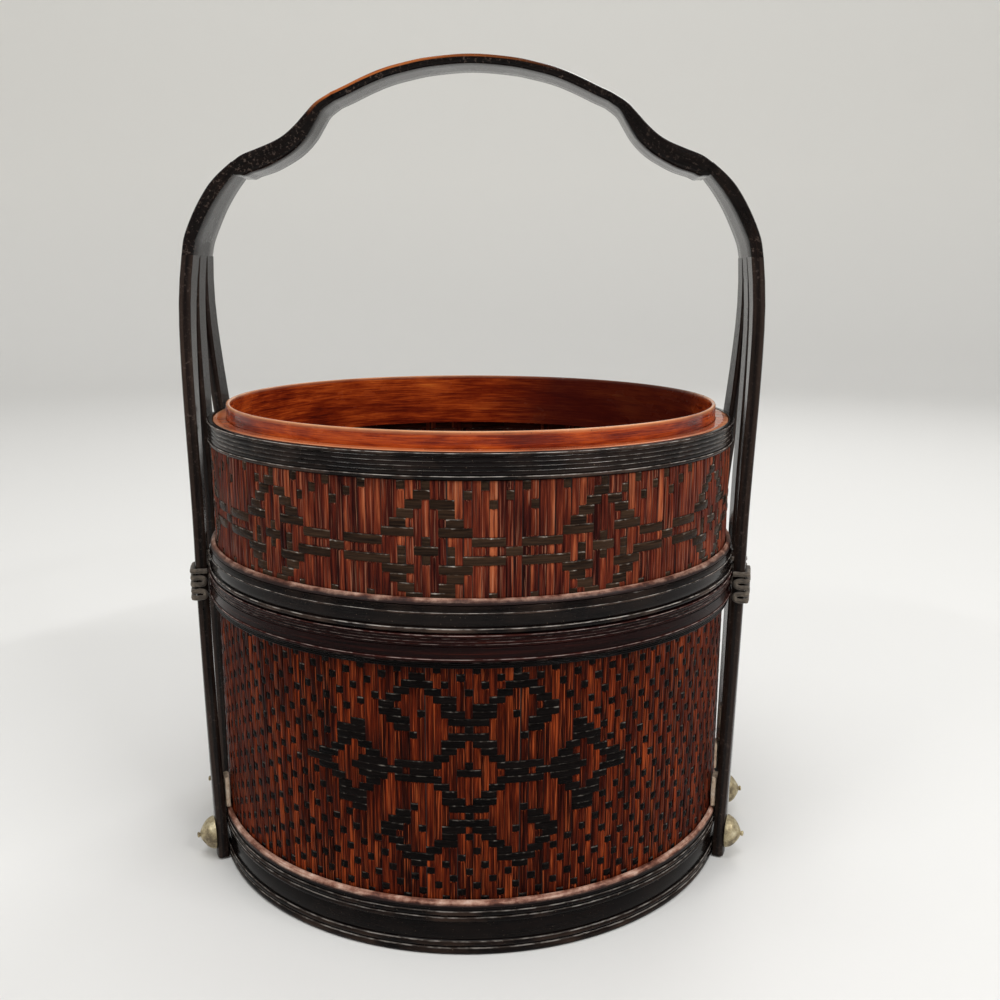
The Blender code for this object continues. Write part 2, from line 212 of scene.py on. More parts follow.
def splintFinish(name, look):  # the grain runs up each splint
    f = Finish(name, 0.4, 0.015, (0.04, 0.12, 1.4))
    tone = f.tone()
    fine = f.noise(f.shift(f.place(look["grain"], look["grain"], 45), tone, 37.0), detail=4.0, rough=0.6)
    broad = f.noise(f.shift(f.place(420, 420, 26), tone, 11.0), detail=2.0)
    stain = f.noise(f.place(28, 28, 36))
    streaks = f.noise(f.shift(f.place(2300, 2300, 34), tone, 53.0), detail=2.0)
    drift = f.times(f.calc("SUBTRACT", tone, 0.5), look["spread"])
    body = f.ramp(f.plus(f.blend(fine, 0.55, broad, 0.45), drift),
                  (0.37, look["deep"]), (0.47, look["red"]), (0.56, look["warm"]), (0.66, look["bright"]))
    aged = f.mix(f.ramp(stain, (0.42, 0.0), (0.7, look["aging"])), body, look["deep"])
    streaked = f.mix(f.ramp(streaks, (0.58, 0.0), (0.68, look["streaking"])), aged, look["streak"])
    f.bump(fine, 0.12, 0.5)
    return f.use(Base_Color=streaked, Roughness=f.ramp(fine, (0.3, 0.28), (0.75, 0.5)))


# The pale colour, the glint colour and the edge share make the painted highlight along each weft's upper side
lowerWeftLook = {"dark": (4, 3, 3), "light": (16, 11, 10), "wearAndHighlight": (58, 53, 48), "glint": (176, 168, 158),
                 "gloss": 0.14, "edge": 0.45}
trayWeftLook = {"dark": (22, 15, 11), "light": (62, 45, 33), "wearAndHighlight": (124, 108, 94),
                "glint": (226, 216, 204), "gloss": 0.17, "edge": 0.8}
# The inside weft keeps its own dark red, lifted brighter as painted light for the dim inside of the tray
innerWeftLook = {"dark": (30, 16, 13), "light": (92, 48, 35), "wearAndHighlight": (116, 76, 58),
                 "glint": (226, 204, 184), "gloss": 0.2, "edge": 0.55}


def weftFinish(name, look):  # painted highlight: the upper side is painted pale, with painted glint specks
    f = Finish(name, 0.24, 0.015, (0.06, 0.06, 1.4))
    tone = f.tone()
    fine = f.noise(f.shift(f.place(90, 90, 1900), tone, 41.0), detail=4.0)
    patch = f.noise(f.shift(f.place(260, 260, 300), tone, 23.0), detail=2.0)
    glints = f.noise(f.place(520, 520, 900), detail=2.0)
    body = f.ramp(f.plus(fine, f.times(tone, 0.25)), (0.4, look["dark"]), (0.85, look["light"]))
    # painted highlight: the share of the pale line comes from how far the surface faces up
    litUpperSide = f.plus(f.axis("Z", "Normal"), f.times(patch, 0.5))
    line = f.mix(f.ramp(glints, (0.5, 0.0), (0.62, 1.0)), look["wearAndHighlight"], look["glint"])
    wearAndHighlight = f.mix(f.ramp(litUpperSide, (0.5, 0.0), (0.72, look["edge"])), body, line)
    f.bump(fine, 0.08, 0.6)
    f.bump(patch, 0.25, 0.35)
    gloss = look["gloss"]
    return f.use(Base_Color=wearAndHighlight, Roughness=f.ramp(patch, (0.35, gloss), (0.75, gloss + 0.22)))


def paintedCrestHighlight(f, patch, glints, look):  # painted highlight: a thin pale line with glint specks on the upper side of each bead, as share and colour
    rise = f.blend(f.axis("Z", "Normal"), 0.8, patch, 0.25)
    share = f.ramp(rise, (0.46, 0.0), (0.54, look["crestHighlight"]), (0.66, look["crestHighlight"]), (0.76, 0.0))
    return share, f.mix(f.ramp(glints, (0.42, 0.0), (0.62, 1.0)), look["line"], look["glint"])


# The line and glint colours and the crest share make the painted highlight along the upper side of each bead
blackHoopLook = {"dark": (5, 4, 4), "light": (20, 14, 13), "worn": (124, 98, 84), "line": (86, 76, 70),
                 "glint": (206, 198, 190), "speck": (150, 130, 112), "wear": 0.3, "dust": 0.4, "crestHighlight": 0.6,
                 "coat": 0.2, "gloss": 0.11}
# The foot ring's copy is darker, as painted shade low on the basket, with less wear and a fainter painted
# highlight
footHoopLook = {**blackHoopLook, "dark": (4, 3, 3), "light": (15, 10, 9), "worn": (110, 84, 70),
                "wear": 0.2, "crestHighlight": 0.36, "coat": 0.14}


# Hoops: the grain runs round them, the lacquer has rubbed thin on the beads, and a painted highlight with glint
# specks lines the upper side of each bead
def hoopFinish(name, look):
    f = Finish(name, 0.2, 0.03, (look["coat"], 0.05, 1.4))
    fine = f.noise(f.place(70, 70, 2600), detail=4.0, rough=0.6)
    long = f.noise(f.place(14, 14, 700))
    patch = f.noise(f.place(60, 60, 90), detail=4.0)
    specks = f.noise(f.place(1500), detail=2.0)
    glints = f.noise(f.place(240, 240, 900))
    body = f.ramp(f.blend(long, 0.6, fine, 0.4), (0.36, look["dark"]), (0.66, look["light"]))
    worn = f.times(f.tone(), f.ramp(patch, (0.42, 0.0), (0.68, 1.0)))
    wearAndHighlight = f.mix(f.times(worn, look["wear"]), body, look["worn"])
    share, line = paintedCrestHighlight(f, patch, glints, look)
    lined = f.mix(share, wearAndHighlight, line)
    dusty = f.mix(f.ramp(specks, (0.7, 0.0), (0.78, look["dust"])), lined, look["speck"])
    f.bump(fine, 0.06, 0.7)
    f.bump(patch, 0.2, 0.15)
    gloss = look["gloss"]
    return f.use(Base_Color=dusty, Roughness=f.ramp(patch, (0.3, gloss), (0.8, gloss + 0.2)))


# The line and glint colours and the crest share make the painted highlight on each bead
rimLook = {"dark": (9, 3, 3), "brown": (27, 9, 8), "red": (66, 24, 16), "edge": (7, 5, 5),
           "line": (84, 44, 38), "glint": (200, 180, 172), "crestHighlight": 0.5, "rise": 350}


def rimFinish(name, look):  # dark red band with a black bound edge below it, and a painted highlight on each bead
    f = Finish(name, 0.22, 0.03, (0.09, 0.06, 1.4))
    fine = f.noise(f.place(60, 60, 2600), detail=4.0, rough=0.6)
    long = f.noise(f.place(12, 12, 800))
    patch = f.noise(f.place(45, 45, 160), detail=4.0)
    ragged = f.noise(f.place(230, 230, 60))
    glints = f.noise(f.place(240, 240, 900))
    body = f.ramp(f.blend(long, 0.55, fine, 0.45),
                  (0.36, look["dark"]), (0.54, look["brown"]), (0.72, look["red"]))
    above = f.calc("SUBTRACT", f.axis("Z"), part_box("lower_rim_band")[0].z)
    level = f.calc("SUBTRACT", f.times(above, look["rise"]), f.times(ragged, 0.6))
    share, line = paintedCrestHighlight(f, patch, glints, look)
    bound = f.mix(f.ramp(level, (0.34, 1.0), (0.56, 0.0)), f.mix(share, body, line), look["edge"])
    f.bump(fine, 0.08, 0.7)
    return f.use(Base_Color=bound, Roughness=f.ramp(patch, (0.3, 0.16), (0.8, 0.4)))


# The dimmest colour and the shade amount make the painted shade at the right of the far side
collarLook = {"deep": (70, 18, 12), "red": (124, 38, 14), "warm": (184, 76, 26), "bright": (220, 116, 44),
              "worn": (204, 146, 104), "paintedShadow": (62, 18, 15), "pit": (40, 12, 8), "shade": 0.85}
rimCoreLook = {**collarLook, "deep": (84, 28, 16), "red": (142, 58, 26), "warm": (176, 84, 36),
               "bright": (204, 120, 62), "worn": (206, 150, 112), "shade": 0.4}


# Clear red lacquer over a bent strip of bamboo, with painted shade at the right of the far side
def collarFinish(name, look):
    f = Finish(name, 0.2, 0.12, (0.2, 0.07, 1.45))
    fine = f.noise(f.place(85, 85, 2200), detail=5.0, rough=0.62)
    long = f.noise(f.place(20, 20, 420))
    stain = f.noise(f.place(26, 26, 60), detail=5.0, rough=0.6)
    specks = f.noise(f.place(900), detail=2.0)
    body = f.ramp(f.plus(f.times(fine, 0.4), f.blend(long, 0.25, stain, 0.4)),
                  (0.4, look["deep"]), (0.5, look["red"]), (0.6, look["warm"]), (0.7, look["bright"]))
    worn = f.mix(f.times(f.tone(), f.ramp(stain, (0.3, 0.35), (0.62, 1.0))), body, look["worn"])
    # Painted shade: the right part of the far side is mixed towards a dark red
    farSide = f.ramp(f.axis("Y"), (0.0, 0.0), (0.03, 1.0))
    across = f.plus(f.axis("X"), f.times(stain, 0.05))
    rightSide = f.ramp(across, (0.025, 0.0), (0.06, look["shade"]))
    farShaded = f.mix(f.times(farSide, rightSide), worn, look["paintedShadow"])
    pitted = f.mix(f.ramp(specks, (0.7, 0.0), (0.76, 0.7)), farShaded, look["pit"])
    f.bump(fine, 0.1, 0.6)
    return f.use(Base_Color=pitted, Roughness=f.ramp(stain, (0.3, 0.14), (0.75, 0.36)))


ledgeLook = {"foot": (30, 14, 12), "brown": (58, 26, 20), "tan": (120, 76, 60), "pink": (176, 138, 120),
             "pale": (226, 206, 192)}


def ledgeFinish(name, look):  # tone runs from the dark foot of the moulding to its pale top: the dark foot is painted shade, and the pale pink top is partly the moulding's own colour and partly a painted highlight
    f = Finish(name, 0.5, 0.2)
    fine = f.noise(f.place(90, 90, 1600), detail=4.0)
    stain = f.noise(f.place(110, 110, 160), detail=5.0, rough=0.7)
    body = f.ramp(f.blend(fine, 0.35, stain, 0.65),
                  (0.38, look["brown"]), (0.46, look["tan"]), (0.56, look["pink"]), (0.7, look["pale"]))
    rise = f.plus(f.tone(), f.times(stain, 0.5))
    # painted shade: the lower part of the moulding is mixed towards the dark foot colour
    shaded = f.mix(f.ramp(rise, (0.42, 1.0), (0.78, 0.0)), body, look["foot"])
    f.bump(stain, 0.3, 0.6)
    return f.use(Base_Color=shaded, Roughness=f.ramp(stain, (0.3, 0.36), (0.7, 0.6)))


handleLook = {"dark": (7, 6, 6), "brown": (19, 13, 11), "light": (46, 29, 22), "amberDark": (112, 52, 26),
              "amber": (196, 112, 56), "speck": (132, 112, 102), "specks": 0.28,
              "wearFrom": -0.064, "wearReach": 0.1}
legLook = {"dark": (8, 6, 6), "brown": (22, 15, 13), "light": (46, 37, 33), "amberDark": (34, 26, 23),
           "amber": (56, 44, 38), "speck": (112, 96, 88), "specks": 0.25,
           "wearFrom": -0.2, "wearReach": 0.8}


# Bent bamboo of the handle: dark lacquer with grain along it, rubbed to amber at its edges
def handleFinish(name, look):
    f = Finish(name, 0.3, 0.02, (1.0, 0.1, 1.2))
    fine = f.noise(f.strand(45, 1700, 1700), detail=4.0, rough=0.6)
    long = f.noise(f.strand(12, 420, 420))
    patch = f.noise(f.place(38), detail=4.0, rough=0.6)
    specks = f.noise(f.place(760), rough=0.7)
    body = f.ramp(f.blend(fine, 0.45, long, 0.55),
                  (0.36, look["dark"]), (0.56, look["brown"]), (0.76, look["light"]))
    across = f.calc("DIVIDE", f.calc("SUBTRACT", f.axis("X"), look["wearFrom"]), look["wearReach"])
    wearing = f.ramp(across, (0.0, 0.0), (0.08, 1.0), (0.45, 0.8), (0.7, 0.45), (1.0, 0.0))
    edge = f.ramp(f.plus(f.tone(), f.times(patch, 0.3)), (0.82, 0.0), (1.0, 1.0))
    amber = f.ramp(fine, (0.3, look["amberDark"]), (0.7, look["amber"]))
    worn = f.mix(f.times(edge, wearing), body, amber)
    dots = f.ramp(specks, (0.56, 0.0), (0.66, look["specks"]))
    spotted = f.times(dots, f.ramp(patch, (0.42, 0.15), (0.6, 1.0)))
    speckled = f.mix(spotted, worn, look["speck"])
    f.bump(fine, 0.12, 0.6)
    f.bump(specks, 0.2, 0.25)
    return f.use(Base_Color=speckled, Roughness=f.ramp(patch, (0.3, 0.2), (0.75, 0.46)))


brassLook = {"tarnished": (104, 92, 72), "dull": (168, 154, 122), "bright": (214, 204, 174)}


def brassFinish(name, look):
    f = Finish(name, 0.5, Metallic=0.7)
    dent = f.noise(f.place(420), detail=2.0)
    tarnish = f.noise(f.place(240), detail=5.0, rough=0.65)
    body = f.ramp(tarnish, (0.36, look["tarnished"]), (0.52, look["dull"]), (0.7, look["bright"]))
    f.bump(dent, 0.6, 0.35)
    f.bump(tarnish, 0.1, 0.5)
    return f.use(Base_Color=body, Roughness=f.ramp(tarnish, (0.35, 0.62), (0.7, 0.36)),
                 Metallic=f.ramp(tarnish, (0.3, 0.35), (0.6, 0.8)))


cordLook = {"soiled": (38, 32, 27), "gray": (88, 78, 68), "pale": (140, 128, 112)}


def cordFinish(name, look):
    f = Finish(name, 0.85, Sheen_Weight=0.15, Sheen_Roughness=0.5)
    fibre = f.noise(f.strand(900, 2200, 2200), detail=4.0)
    soil = f.noise(f.place(320))
    body = f.ramp(f.blend(fibre, 0.5, soil, 0.5),
                  (0.34, look["soiled"]), (0.52, look["gray"]), (0.7, look["pale"]))
    f.bump(fibre, 0.12, 0.7)
    return f.use(Base_Color=body)


packingLook = {"brown": (150, 112, 86), "tan": (214, 190, 164), "pale": (236, 220, 200)}


def packingFinish(name, look):
    f = Finish(name, 0.72)
    fibre = f.noise(f.place(700, 700, 900), detail=4.0)
    soil = f.noise(f.place(180))
    body = f.ramp(f.blend(fibre, 0.4, soil, 0.6),
                  (0.3, look["brown"]), (0.5, look["tan"]), (0.7, look["pale"]))
    f.bump(fibre, 0.3, 0.6)
    return f.use(Base_Color=body)


boardLook = {"dark": (34, 12, 9), "red": (72, 26, 15), "warm": (112, 46, 22), "seam": (12, 6, 5),
             "stripsPerMetre": 140}


# Boards of laid strips, with the joints between the strips cut in by the finish
def boardFinish(name, look):
    f = Finish(name, 0.34, coat=(0.4, 0.16, 1.5))
    count = look["stripsPerMetre"]
    grain = f.noise(f.place(700, 22, 700), detail=4.0)
    cells = {"Vector": f.place(count, 9, count), "Scale": 1.0, "Randomness": 0.25}
    strips = f.add("ShaderNodeTexVoronoi", cells, "Color", voronoi_dimensions="3D")
    tone = f.add("ShaderNodeSeparateXYZ", {0: strips}, "X")
    strip = f.calc("FRACT", f.times(f.axis("X"), count))
    seam = f.calc("ABSOLUTE", f.calc("SUBTRACT", strip, 0.5))
    body = f.ramp(f.blend(grain, 0.65, tone, 0.35),
                  (0.25, look["dark"]), (0.5, look["red"]), (0.75, look["warm"]))
    seamed = f.mix(f.ramp(seam, (0.44, 0.0), (0.49, 1.0)), body, look["seam"])
    f.bump(f.ramp(seam, (0.4, 1.0), (0.49, 0.0)), 0.5, 0.8)
    f.bump(grain, 0.1, 0.5)
    return f.use(Base_Color=seamed, Roughness=f.ramp(grain, (0.3, 0.26), (0.7, 0.48)))


coreLook = {"dark": (10, 6, 5), "dusty": (26, 14, 11)}


def coreFinish(name, look):
    f = Finish(name, 0.7)
    return f.use(Base_Color=f.ramp(f.noise(f.place(700)), (0.3, look["dark"]), (0.7, look["dusty"])))


finishList = {  # how each is made, its name and its look
    "lowerSplint": (splintFinish, "redSplint", lowerSplintLook),
    "traySplint": (splintFinish, "trayRedSplint", traySplintLook),
    "lowerWeft": (weftFinish, "blackWeft", lowerWeftLook),
    "trayWeft": (weftFinish, "brownWeft", trayWeftLook),
    "innerWeft": (weftFinish, "innerDarkWeft", innerWeftLook),
    "blackHoop": (hoopFinish, "blackLacquer", blackHoopLook),
    "footHoop": (hoopFinish, "footLacquer", footHoopLook),
    "rimBand": (rimFinish, "darkRedLacquer", rimLook),
    "collar": (collarFinish, "collarLacquer", collarLook),
    "rimCore": (collarFinish, "rimCoreLacquer", rimCoreLook),
    "ledge": (ledgeFinish, "palePinkEdge", ledgeLook),
    "handle": (handleFinish, "handleBamboo", handleLook),
    "leg": (handleFinish, "legBamboo", legLook),
    "brass": (brassFinish, "agedBrass", brassLook),
    "cord": (cordFinish, "grayCord", cordLook),
    "packing": (packingFinish, "palePacking", packingLook),
    "board": (boardFinish, "lacqueredBoard", boardLook),
    "core": (coreFinish, "wallCore", coreLook),
}
finishes = {key: make(name, tinted(look)) for key, (make, name, look) in finishList.items()}
print("finishes made:", len(finishes))


# A shape is a set of points and faces, with a tone and a place along its strand for each point
def emptyShape():
    return {"points": [], "faces": [], "tone": [], "strand": []}


# Turns a shape into a piece that rides on its body and stands for its nodes
def makePiece(name, shape, finish, body, nodes=(), sharpAt=40):
    mesh = bpy.data.meshes.new(name)
    mesh.from_pydata(shape["points"], [], shape["faces"])
    if shape["tone"]:
        mesh.attributes.new("tone", "FLOAT", "POINT").data.foreach_set("value", shape["tone"])
    if shape["strand"]:
        flat = [c for place in shape["strand"] for c in place]
        mesh.attributes.new("strand", "FLOAT_VECTOR", "POINT").data.foreach_set("vector", flat)
    bm = bmesh.new()
    bm.from_mesh(mesh)
    bmesh.ops.recalc_face_normals(bm, faces=bm.faces)
    bm.to_mesh(mesh)
    bm.free()
    mesh.materials.append(finishes[finish])
    mesh.shade_smooth()
    mesh.set_sharp_from_angle(angle=math.radians(sharpAt))
    piece = bpy.data.objects.new(name, mesh)
    bpy.context.scene.collection.objects.link(piece)
    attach(piece, body)
    if nodes:
        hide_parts(*nodes)


# Adds a closed tube through rings with equal point counts. The tone is one number, or a list round the ring
def addLoft(shape, rings, tone=0, strands=()):
    start, size = len(shape["points"]), len(rings[0])
    for ring in rings:
        shape["points"] += ring
        shape["tone"] += tone if isinstance(tone, list) else [tone] * size
    for strand in strands:
        shape["strand"] += strand
    last = start + (len(rings) - 1) * size
    for low in range(start, last, size):
        for k in range(size):
            n = (k + 1) % size
            shape["faces"].append((low + k, low + n, low + size + n, low + size + k))
    shape["faces"].append(tuple(range(start + size - 1, start - 1, -1)))
    shape["faces"].append(tuple(range(last, last + size)))


def onWall(radius, angle, z):
    return (radius * math.cos(angle), radius * math.sin(angle), z)


# Hoops. Each is a row of members from its bottom up: form, height, depth behind the outer radius (mm), count

hoopMaking = {"sides": 168, "wobble": 0.12 * mm, "waves": 2.2, "sharpAt": 50, "beadDepth": 0.85 * mm,
              "beadPoints": 6, "reedDepth": 0.2 * mm, "reedPoints": 4, "coveDepth": 0.5 * mm}
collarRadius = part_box("lower_collar")[1].x
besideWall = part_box("lower_wall")[1].x + gap
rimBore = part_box("lower_rim_core")[1].x + gap
collarFit = 0.6 * mm  # play of the tray's foot on the lower collar
bandHoops = {
    "foot_ring": {
        "members": [("bead", 3.1, 0, 1), ("bead", 2.6, 0, 1), ("flat", 6.9, 0.8, 1), ("bead", 2.5, 0, 1),
                    ("bead", 2.3, 0, 1), ("flat", 1.1, 0.7, 1)],
        "finish": "footHoop", "slot": "black_lacquer", "body": "basket", "seat": True, "bore": collarRadius},
    "lower_rim_band": {
        "members": [("reeds", 1.3, 0.9, 2), ("bead", 1.0, 0.75, 1), ("bead", 1.4, 0, 1),
                    ("flat", 3.9, 0.5, 1), ("reeds", 3.0, 0.55, 3), ("bead", 1.4, 0, 1)],
        "finish": "rimBand", "slot": "dark_red_lacquer", "body": "basket", "seat": False, "bore": rimBore},
    "tray_foot_band": {
        "members": [("bead", 2.0, 0, 1), ("flat", 4.3, 0.75, 1), ("bead", 1.0, 0.25, 1),
                    ("cove", 2.0, 0.6, 1)],
        "finish": "blackHoop", "slot": "black_lacquer", "body": "tray", "seat": True,
        "bore": collarRadius + collarFit},
    "tray_rim_band": {
        "members": [("bead", 1.6, 0, 1), ("reeds", 6.1, 0.4, 4), ("bead", 1.4, 0, 1)],
        "finish": "blackHoop", "slot": "black_lacquer", "body": "tray", "seat": False, "bore": rimBore},
}


def memberPoints(members, radius):  # outline points as radius, height and tone
    line, z = [], 0
    for form, height, depth, count in members:
        out = radius - depth
        if form in ("bead", "reeds"):
            bead, step = form == "bead", height / count
            bulge = min(step * 0.5, hoopMaking["beadDepth"]) if bead else hoopMaking["reedDepth"]
            arc = hoopMaking["beadPoints"] if bead else hoopMaking["reedPoints"]
            for n in range(count):
                for k in range(arc + 1):
                    a = math.pi * k / arc
                    dip, rise = bulge * (1 - math.sin(a)), step * (n + (1 - math.cos(a)) / 2)
                    line.append((out - dip, z + rise, math.sin(a) ** 3 if bead else 0.25))
        elif form == "flat":
            line += [(out, z + height * k, 0.1) for k in (0.02, 0.5, 0.98)]
        elif form == "cove":
            dip = hoopMaking["coveDepth"]
            line += [(out - dip * k * k, z + height * k, 0.2) for k in (0.02, 0.35, 0.7, 0.98)]
        z += height
    return line


def turned(outline, base, wobble=0, seed=0):  # sets the outline round the axis
    sides, size, shape = hoopMaking["sides"], len(outline), emptyShape()
    for i in range(sides):
        turn = 2 * math.pi * i / sides
        spot = (math.cos(turn) * hoopMaking["waves"], math.sin(turn) * hoopMaking["waves"], seed)
        drift = noise.noise(spot) * wobble
        for r, z, tone in outline:
            shape["points"].append(onWall(r + drift, turn, base + z))
            shape["tone"].append(tone)
        low, high = i * size, ((i + 1) % sides) * size
        for k in range(size):
            n = (k + 1) % size
            shape["faces"].append((low + k, low + n, high + n, high + k))
    return shape


def makeHoop(node, outline, finish, body):
    shape = turned(outline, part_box(node)[0].z, hoopMaking["wobble"], sum(ord(c) for c in node))
    makePiece(node + "_hoop", shape, finish, body, (node,), hoopMaking["sharpAt"])


boardDepth = 3.0 * mm  # of the seat that a board lies in


def makeBand(node, hoop):
    low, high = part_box(node)
    height, bore = high.z - low.z, hoop["bore"]
    stretch = height / sum(m[1] for m in hoop["members"])
    members = [(form, tall * stretch, deep * mm, count) for form, tall, deep, count in hoop["members"]]
    outline = memberPoints(members, high.x)
    if hoop["seat"]:
        lip = height - boardDepth
        outline += [(besideWall, height, 0.2), (besideWall, lip, 0), (bore, lip, 0), (bore, 0, 0)]
    else:
        outline += [(bore, height, 0.2), (bore, 0, 0)]
    makeHoop(node, outline, hoop["finish"], hoop["body"])


collars = {"thick": 1.5 * mm, "ease": 0.5 * mm}


def makeCollar(node, body):
    low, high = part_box(node)
    tall, ease = high.z - low.z, collars["ease"]
    outer, inner = collarRadius, collarRadius - collars["thick"]
    outline = [(outer, 0, 0), (outer, tall * 0.5, 0), (outer, tall - 3 * ease, 0), (outer, tall - ease, 0.5),
               (outer - ease * 0.3, tall - ease * 0.3, 1), (outer - ease, tall, 1), (inner + ease, tall, 1),
               (inner + ease * 0.3, tall - ease * 0.3, 1), (inner, tall - ease, 0.4),
               (inner, tall - 3 * ease, 0), (inner, tall * 0.5, 0), (inner, 0, 0)]
    makeHoop(node, outline, "collar", body)


rimCores = {"ease": 0.35 * mm}


def makeRimCore(node, body):
    low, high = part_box(node)
    tall, ease = high.z - low.z, rimCores["ease"]
    inner, outer = collarRadius + gap, high.x
    outline = [(outer, 0, 0), (outer, tall - ease, 0.5), (outer - ease, tall, 0.7),
               ((inner + outer) / 2, tall, 0.1), (inner, tall, 0.3), (inner, 0, 0)]
    makeHoop(node, outline, "rimCore", body)


ledges = {"steps": (0, 0.15, 0.35, 0.55, 0.75, 0.9, 1), "slope": 0.7,
          "foot_ledge": 0.85, "tray_foot_ledge": 0.5}  # how much of each moulding is pale: its pale top is partly its own colour and partly a painted highlight


def makeLedge(node, body):
    low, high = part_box(node)
    tall, wide, inner = high.z - low.z, high.x - besideWall, besideWall
    slope, pale = ledges["slope"], ledges[node]
    outline = [(inner + wide * (1 - k * k * slope), tall * k, k * pale) for k in ledges["steps"]]
    outline += [(inner, tall, 1), (inner, 0, 0)]
    makeHoop(node, outline, "ledge", body)


for node, hoop in bandHoops.items():
    makeBand(node, hoop)
for tier, body in (("lower", "basket"), ("tray", "tray")):
    makeCollar(tier + "_collar", body)
    makeRimCore(tier + "_rim_core", body)
makeLedge("foot_ledge", "basket")
makeLedge("tray_foot_ledge", "tray")
print("hoops made")

# Woven walls. Columns are upright splints, rows are weft, and a chart says where the weft crosses in front

lowerWeave = {"columns": 245, "rows": 33, "middleAngle": -87.4, "middleRow": 18, "seed": 5, "satin": 3}
trayWeave = {"columns": 242, "rows": 13, "middleAngle": -94.9, "repeat": 22, "seed": 9, "satin": 2}


# Medallion by rules of its quarter: x columns from the middle, y rows from the middle
def medallionCell(x, y, above):
    if 1 <= y <= 13 and x <= 8 and -1 <= x - abs(y - 6) <= (y in (4, 5, 7, 8, 12)):
        return True  # crossed lines: inner side of the corner diamonds, and the ring in the middle
    if -1 <= x + y - 20 <= (y <= 1) and (y >= 9 and x >= 7 or y <= 5):
        return True  # outer side of the corner diamonds, and the pointed ends
    if 6 <= y <= 8 and abs(x - y - 2) <= 1 and x >= 8:
        return True  # hooks
    if 4 <= y <= 6 and 14 <= x <= 21 - y or y == 3 and x in (13, 14):
        return True  # upright inner edges of the pointed ends
    if y <= 2 and abs(x - 12.5) <= 2.6 - y:
        return True  # small diamonds
    if y == 1 and 4 <= x <= 9 or y == 0 and (x <= 1 or x in (5, 6, 7, 9)):
        return True  # double bars and the middle bar
    return (x, y) in ((7, 5), (6, 8)) or above and (x, y) == (0, 1)


def lowerCell(column, row):
    x, y = abs(column), abs(row - lowerWeave["middleRow"])
    if x + y <= 22 and y <= 14:
        if medallionCell(x, y, row > lowerWeave["middleRow"]):
            return True
        if x + y <= 21 and (y <= 7 or x >= y - 7):
            return False  # plain inside the medallion
    return (column - 2 * row + lowerWeave["satin"]) % 5 == 0


# Tray: stepped diamonds joined by double bars. Rows count from the rim down, and each holds runs of columns
# that count from the middle of a diamond
trayRuns = {0: ((0, 0),), 1: ((-1, 0),), 2: ((-2, -1), (1, 2)), 3: ((-3, -2), (2, 3)), 4: ((-4, -3), (3, 4)),
            5: ((-5, -2), (2, 5)), 6: ((-10, -6), (0, 0), (6, 9)),
            7: ((-11, -11), (-3, -3), (-1, 1), (3, 3), (10, 10)),
            8: ((-10, -5), (-3, -3), (0, 0), (3, 3), (5, 9)), 9: ((-5, -2), (2, 5)),
            10: ((-4, -3), (3, 4)), 11: ((-3, -2), (2, 3)), 12: ((-2, -1), (1, 2))}


def trayCell(column, row):
    down = trayWeave["rows"] - 1 - row
    repeat = trayWeave["repeat"]
    x = (column + repeat // 2) % repeat - repeat // 2
    if any(low <= x <= high for low, high in trayRuns[down]):
        return True
    plain = 3 <= down <= 11 or abs(x) <= max(2, 6 - abs(down - 6)) or 1 <= down <= 3 and -8 <= x <= -4
    return not plain and (column - 2 * row + trayWeave["satin"]) % 5 == 0


def runsOf(cells):  # neighbouring True cells as (first, last)
    runs, first = [], None
    for i, crossed in enumerate(list(cells) + [False]):
        if crossed and first is None:
            first = i
        if not crossed and first is not None:
            runs.append((first, i - 1))
            first = None
    return runs


wallForm = {"thick": 2.4 * mm, "skin": 0.2 * mm, "coreBehind": 0.35 * mm, "plainLining": 0.15 * mm}
splintForm = {"width": 0.965, "uneven": (0.95, 1.04), "groove": 0.1 * mm, "grooveHalf": 0.08,
              "grooveOff": 0.35, "shoulder": 0.01 * mm, "edge": 0.12 * mm, "back": 0.45 * mm,
              "proud": 0.06 * mm, "lean": 0.05, "waver": 0.05, "dip": 0.5 * mm, "swell": 0.08 * mm, "soft": 0.16}
weftForm = {"tall": 0.49, "uneven": (0.93, 1.03), "tilt": 0.04, "over": 0.2, "rise": 0.1 * mm,
            "lift": 0.07 * mm, "rough": 0.03 * mm, "crown": 0.03 * mm, "edge": 0.17 * mm,
            "back": 0.4 * mm, "tuck": -1.6, "end": 0.35, "narrow": 0.86, "longest": 6}


class Loom:  # measures of one wall while it is woven
    def __init__(self, node, weave):
        self.low, self.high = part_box(node)
        self.random = random.Random(weave["seed"])
        self.columns, self.rows = weave["columns"], weave["rows"]
        self.pitch = 2 * math.pi / self.columns
        self.rowHeight = (self.high.z - self.low.z) / self.rows
        self.middle = math.radians(weave["middleAngle"])
        self.jitter = [self.random.uniform(-0.05, 0.05) * self.pitch for _ in range(self.columns)]

    def angle(self, column):
        return self.middle + column * self.pitch + self.jitter[column % self.columns]

    def level(self, row):
        return self.low.z + row * self.rowHeight


